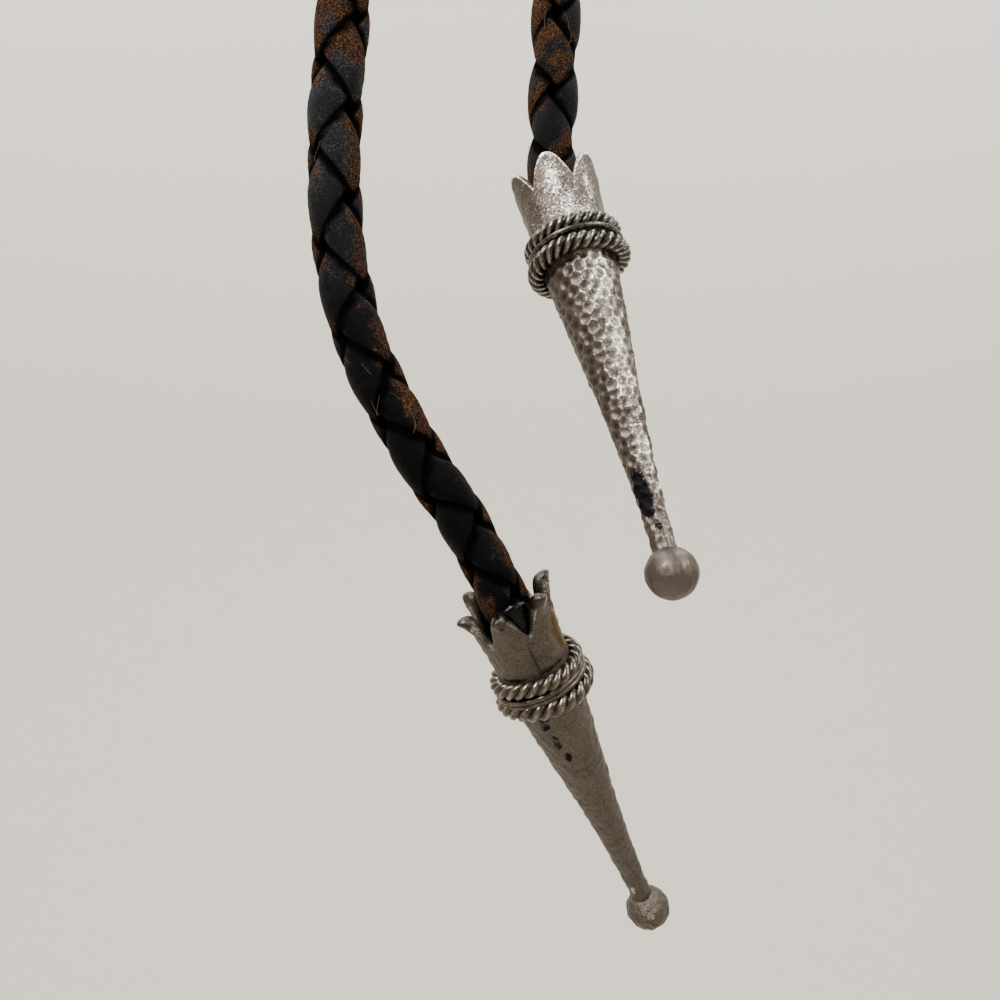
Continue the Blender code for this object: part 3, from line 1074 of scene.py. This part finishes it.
leather = {
    "black": sRgb(4, 4, 5),
    "charcoal": sRgb(23, 23, 25),
    "grey": sRgb(70, 70, 74),
    "shadeAndCutEndBlack": sRgb(0, 0, 0),
    "brown": sRgb(21, 14, 10),
    "rust": sRgb(96, 66, 43),
    "hair": sRgb(104, 94, 82),
    "hairStrength": 0.9,
    "patches": (0.0032, 3.0, 0.6, 0.6, 0.0),
    "fibre": (0.00034, 4.0, 0.7, 1.6, 3.0),
    "grain": (0.00019, 3.0, 0.65, 0.0, 7.0),
    "wornRamp": [(0.50, 0.0), (0.66, 1.0)],
    "wornMark": 0.55,
    "wornPatches": 1.6,
    "wornFibre": 0.9,
    "scuffRamp": [(0.48, 0.0), (0.68, 1.0)],
    "scuffMark": 0.12,
    "scuffPatches": 0.4,
    "scuffLeast": 0.07,
    "speckRamp": [(0.46, 0.0), (0.68, 1.0)],
    "bumpFibre": 0.6,
    "bump": 0.9,
    "bumpHeight": 0.00025,
    "rough": 0.50,
    "wornRough": 0.35,
    "shadeRough": 0.5,
    "specular": 0.04,
}

cutEnd = {
    "smear": (0.0007, 3.0, 0.6, 0.8, 0.0),
    "smearRough": 0.3,
    "rough": 0.12,
    "bump": 0.5,
    "bumpHeight": 0.0003,
    "specular": 0.16,
}


def makeLeather(plan):
    paint = Paint("braided_leather")
    patches = paint.noise(*plan["patches"])
    fibre = paint.noise(*plan["fibre"])
    grain = paint.noise(*plan["grain"])
    wornMark, dust, dark = paint.mark("worn"), paint.mark("dust"), paint.mark("dark")
    level = wornMark * plan["wornMark"] + (patches - 0.5) * plan["wornPatches"]
    level = level + (fibre - 0.5) * plan["wornFibre"]
    worn = paint.ramp(level + 0.5, plan["wornRamp"])
    level = grain + (patches - 0.5) * plan["scuffPatches"] + wornMark * plan["scuffMark"]
    scuff = paint.ramp(level, plan["scuffRamp"])
    scuff = scuff * (plan["scuffLeast"] + dust * (1 - plan["scuffLeast"]))
    black = paint.mix(dust, plan["black"], plan["charcoal"])
    black = paint.mix(scuff, black, plan["grey"])
    brown = paint.mix(paint.ramp(grain, plan["speckRamp"]), plan["brown"], plan["rust"])
    colour = paint.mix(worn, black, brown)
    # painted shade: the crevices and the core turn black; the same black is the cut end's own
    # colour
    colour = paint.mix(dark, colour, plan["shadeAndCutEndBlack"])
    colour = paint.mix(paint.mark("fibre") * plan["hairStrength"], colour, plan["hair"])
    height = fibre * plan["bumpFibre"] + grain * (1 - plan["bumpFibre"])
    normal = paint.bump(height, plan["bump"], plan["bumpHeight"])
    roughness = paint.clamped(plan["rough"] + worn * plan["wornRough"] + dark * plan["shadeRough"])
    return paint.shade(Base_Color=colour, Roughness=roughness, Normal=normal,
                       Specular_IOR_Level=plan["specular"])


def makeCutEnd(plan, colour):
    # the lace's end keeps its smooth black finish
    paint = Paint("lace_end")
    smear = paint.noise(*plan["smear"])
    normal = paint.bump(smear, plan["bump"], plan["bumpHeight"])
    roughness = plan["rough"] + smear * plan["smearRough"]
    return paint.shade(Base_Color=colour, Roughness=roughness, Normal=normal,
                       Specular_IOR_Level=plan["specular"])


# metal: an aged casting, darker in its hollows, with painted shade inside the cup and painted
# shade with tarnish in the rope creases, bright with wear and painted highlights

leftMetal = {
    "dark": sRgb(26, 22, 19),
    "body": sRgb(89, 82, 74),
    "bright": sRgb(164, 156, 145),
    "fleck": sRgb(42, 37, 32),
    "grain": (0.00024, 4.0, 0.65, 0.3, 0.0),
    "blotch": (0.0026, 4.0, 0.6, 0.5, 4.0),
    "rough": 0.56,
    "polish": 0.40,
    "speckle": 1.6,
    "bump": 0.6,
}
rightMetal = {
    "dark": sRgb(34, 30, 27),
    "body": sRgb(90, 82, 76),
    "bright": sRgb(246, 236, 226),
    "fleck": sRgb(46, 41, 37),
    "grain": (0.00024, 4.0, 0.65, 0.3, 0.0),
    "blotch": (0.0022, 4.0, 0.6, 0.5, 4.0),
    "rough": 0.46,
    "polish": 0.18,
    "speckle": 2.4,
    "bump": 0.7,
}
ropeMetal = {
    "dark": sRgb(24, 22, 20),
    "body": sRgb(66, 62, 58),
    "bright": sRgb(172, 164, 154),
    "fleck": sRgb(34, 31, 29),
    "grain": (0.00030, 4.0, 0.65, 0.3, 0.0),
    "blotch": (0.0018, 4.0, 0.6, 0.5, 4.0),
    "rough": 0.36,
    "polish": 0.14,
    "speckle": 1.2,
    "bump": 0.3,
}
leftRope = dict(ropeMetal, bright=sRgb(148, 139, 127), body=sRgb(78, 71, 64),
                dark=sRgb(58, 52, 45))
slideMetal = dict(rightMetal, bright=sRgb(176, 168, 158), speckle=0.7)

# the same in all metals
agingAndPaintedLight = {
    "toneRamp": [(0.20, 0.0), (0.64, 1.0)],
    "toneRubAndHighlight": 0.8,
    "toneBlotch": 0.5,
    "toneLeast": 0.4,
    "fleckRamp": [(0.36, 1.0), (0.50, 0.0)],
    "fleckBlotch": 0.3,
    "fleckStrength": 0.75,
    "hollowBlotch": 1.2,
    "roughBlotch": 0.25,
    "stainRamp": [(0.50, 0.0), (0.62, 1.0)],
    "stainGrain": 2.0,
    "stainBlotch": 3.6,
    "bumpHeight": 0.00014,
    "ridgeRamp": [(0.10, 1.0), (0.34, 0.50)],
    "pitRamp": [(0.64, 0.0), (1.0, 0.65)],
    "insideShade": 0.8,
    "evenGrain": 0.6,
    "plainWear": (0.0035, 3.0, 0.6, 0.3, 9.0),
    "plainWearRamp": [(0.40, 0.0), (0.75, 0.6)],
    "plainDirt": (0.0020, 3.0, 0.6, 0.3, 5.0),
    "plainDirtRamp": [(0.64, 0.0), (0.90, 0.2)],
    "crestRamp": [(0.84, 0.0), (1.0, 0.5)],
    "creaseRamp": [(0.705, 1.0), (0.76, 0.55), (0.83, 0.0)],
}

# a stain is its mark, its colour and how much rougher it is
chipStain = ("spots", sRgb(22, 22, 24), 0.15)
glueStain = ("glue", sRgb(84, 60, 14), 0.15)
rustStain = ("rust", sRgb(40, 25, 18), 0.1)
# the gloss stain's darker colour is a painted dark reflection on the finger tips; its lower
# roughness is real polish
tipPolishAndDarkReflection = ("gloss", sRgb(66, 61, 55), -0.26)


def makeMetal(name, plan, wear, hollows, coarseness, stains=()):
    # wear, hollows and coarseness say where this piece is bright with wear and painted highlights,
    # where it is dark with painted shade, dirt and darker hollows, and where it is grainy
    paint = Paint(name)
    grain = paint.noise(*plan["grain"]) - 0.5
    blotch = paint.noise(*plan["blotch"]) - 0.5
    coarse = coarseness(paint)
    # wear and painted highlights raise the tone towards the bright colour
    level = wear(paint) * agingAndPaintedLight["toneRubAndHighlight"] + grain * coarse * plan["speckle"]
    level = level + blotch * (coarse + agingAndPaintedLight["toneLeast"]) * agingAndPaintedLight["toneBlotch"]
    tone = paint.ramp(level, agingAndPaintedLight["toneRamp"])
    colour = paint.mix(tone, plan["body"], plan["bright"])
    flecks = paint.ramp(grain + 0.5 + blotch * agingAndPaintedLight["fleckBlotch"], agingAndPaintedLight["fleckRamp"])
    colour = paint.mix(flecks * coarse * agingAndPaintedLight["fleckStrength"], colour, plan["fleck"])
    depth = hollows(paint)
    depth = paint.clamped(depth + depth * blotch * agingAndPaintedLight["hollowBlotch"])
    # the dark colour lies where the hollows bring painted shade, dirt and darker hollows
    colour = paint.mix(depth, colour, plan["dark"])
    roughness = plan["rough"] + blotch * agingAndPaintedLight["roughBlotch"] - tone * plan["polish"]
    broken = 1.0 + grain * agingAndPaintedLight["stainGrain"] + blotch * agingAndPaintedLight["stainBlotch"]
    for mark, stain, roughen in stains:
        edge = paint.ramp(paint.mark(mark) * broken, agingAndPaintedLight["stainRamp"])
        colour = paint.mix(edge, colour, stain)
        roughness = roughness + edge * roughen
    normal = paint.bump((grain + 0.5) * coarse, plan["bump"], agingAndPaintedLight["bumpHeight"])
    return paint.shade(Base_Color=colour, Roughness=paint.clamped(roughness), Metallic=1.0,
                       Normal=normal)


def castRubsAndHighlights(paint):
    # painted highlights with wear: the rubs, brightest on the ridges between the dimples
    return paint.mark("rubs") * paint.ramp(paint.mark("hollow"), agingAndPaintedLight["ridgeRamp"])


def castHollowsAndShade(paint):
    # darker in the dimple floors, painted shade on the cup's inner wall, and the dark seam lines
    pits = paint.ramp(paint.mark("hollow"), agingAndPaintedLight["pitRamp"])
    return pits + paint.mark("inside") * agingAndPaintedLight["insideShade"] + paint.mark("seams")


def castGrain(paint):
    return paint.mark("coarse")


def evenGrain(paint):
    return agingAndPaintedLight["evenGrain"]


def plainWear(paint):
    return paint.ramp(paint.noise(*agingAndPaintedLight["plainWear"]), agingAndPaintedLight["plainWearRamp"])


def plainDirt(paint):
    return paint.ramp(paint.noise(*agingAndPaintedLight["plainDirt"]), agingAndPaintedLight["plainDirtRamp"])


def ropeCrestWearAndHighlight(paint):
    return paint.ramp(paint.mark("worn"), agingAndPaintedLight["crestRamp"])


def ropeCreaseShadeAndTarnish(paint):
    return paint.ramp(paint.mark("worn"), agingAndPaintedLight["creaseRamp"])


leatherPaint = makeLeather(leather)
paints = {
    leftBraid: leatherPaint,
    rightBraid: leatherPaint,
    neckBraid: leatherPaint,
    leftCasting: makeMetal("left_cast_metal", leftMetal, castRubsAndHighlights, castHollowsAndShade, castGrain,
                           (tipPolishAndDarkReflection, chipStain, rustStain, glueStain)),
    rightCasting: makeMetal("right_cast_metal", rightMetal, castRubsAndHighlights, castHollowsAndShade, castGrain,
                            (chipStain,)),
    leftCollar: makeMetal("left_rope_metal", leftRope, ropeCrestWearAndHighlight, ropeCreaseShadeAndTarnish, evenGrain),
    rightCollar: makeMetal("right_rope_metal", ropeMetal, ropeCrestWearAndHighlight, ropeCreaseShadeAndTarnish, evenGrain),
    slidePiece: makeMetal("slide_metal", slideMetal, plainWear, plainDirt, evenGrain),
    laceEndPiece: makeCutEnd(cutEnd, leather["shadeAndCutEndBlack"]),
}
for piece, material in paints.items():
    piece.data.materials.append(material)
print("paints made:", len(paints))


# room: a pale round studio and soft lights

room = {
    "floorZ": -1.10,
    "floorRadius": 0.9,
    "curve": 0.9,
    "curveRows": 12,
    "wallTop": 1.6,
    "steps": 64,
    "merge": 0.00001,
    "rough": 0.9,
    "colour": sRgb(202, 197, 187),
    "world": sRgb(238, 237, 233),
    "worldStrength": 0.28,
}

lights = [
    {"name": "key", "size": 0.32, "power": 25.0,
     "place": (-0.55, -0.80, 0.42), "aim": (0.01, -0.12, -0.38)},
    {"name": "fill", "size": 0.5, "power": 12.0,
     "place": (0.75, -0.60, 0.28), "aim": (0.01, -0.12, -0.38)},
    {"name": "backLeft", "size": 0.6, "power": 37.0,
     "place": (-0.8, 0.4, 1.3), "aim": (-0.3, 1.8, -0.4)},
    {"name": "backRight", "size": 0.6, "power": 37.0,
     "place": (0.8, 0.4, 1.3), "aim": (0.3, 1.8, -0.4)},
]


def makeRoom(plan):
    points = [(0.0, plan["floorZ"]), (plan["floorRadius"], plan["floorZ"])]
    for row in range(1, plan["curveRows"] + 1):
        angle = math.pi / 2 * row / plan["curveRows"]
        points.append((plan["floorRadius"] + plan["curve"] * math.sin(angle),
                       plan["floorZ"] + plan["curve"] * (1 - math.cos(angle))))
    points.append((plan["floorRadius"] + plan["curve"], plan["wallTop"]))
    bm = bmesh.new()
    spinProfile(bm, points, plan["steps"])
    bmesh.ops.remove_doubles(bm, verts=bm.verts, dist=plan["merge"])
    floor = makeObject(bm, "studio_floor")
    paper = Paint("studio_paper").shade(Base_Color=plan["colour"], Roughness=plan["rough"])
    floor.data.materials.append(paper)


def makeLights(plans):
    for plan in plans:
        data = bpy.data.lights.new(plan["name"], "AREA")
        data.shape = "DISK"
        data.size = plan["size"]
        data.energy = plan["power"]
        light = bpy.data.objects.new(plan["name"], data)
        bpy.context.scene.collection.objects.link(light)
        light.location = plan["place"]
        aim = Vector(plan["aim"]) - Vector(plan["place"])
        light.rotation_euler = aim.to_track_quat("-Z", "Y").to_euler()


def makeWorld(plan):
    world = bpy.data.worlds.new("studio_world")
    bpy.context.scene.world = world
    world.use_nodes = True
    background = world.node_tree.nodes["Background"]
    background.inputs["Color"].default_value = plan["world"]
    background.inputs["Strength"].default_value = plan["worldStrength"]


makeRoom(room)
makeLights(lights)
makeWorld(room)
print("room and lights made")


# what each piece rides on, stands for and is

for piece, slotName, node in (
    (neckBraid, "braided_leather", "neck_cord"),
    (leftBraid, "braided_leather", "left_end_cord"),
    (rightBraid, "braided_leather", "right_end_cord"),
    (leftCasting, "left_tip_metal", "left_tip"),
    (rightCasting, "right_tip_metal", "right_tip"),
    (slidePiece, "slide_metal", "slide"),
    (leftCollar, "left_tip_metal", None),
    (rightCollar, "right_tip_metal", None),
    (laceEndPiece, "braided_leather", None),
):
    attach(piece, "root")
    if node:
        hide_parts(node)
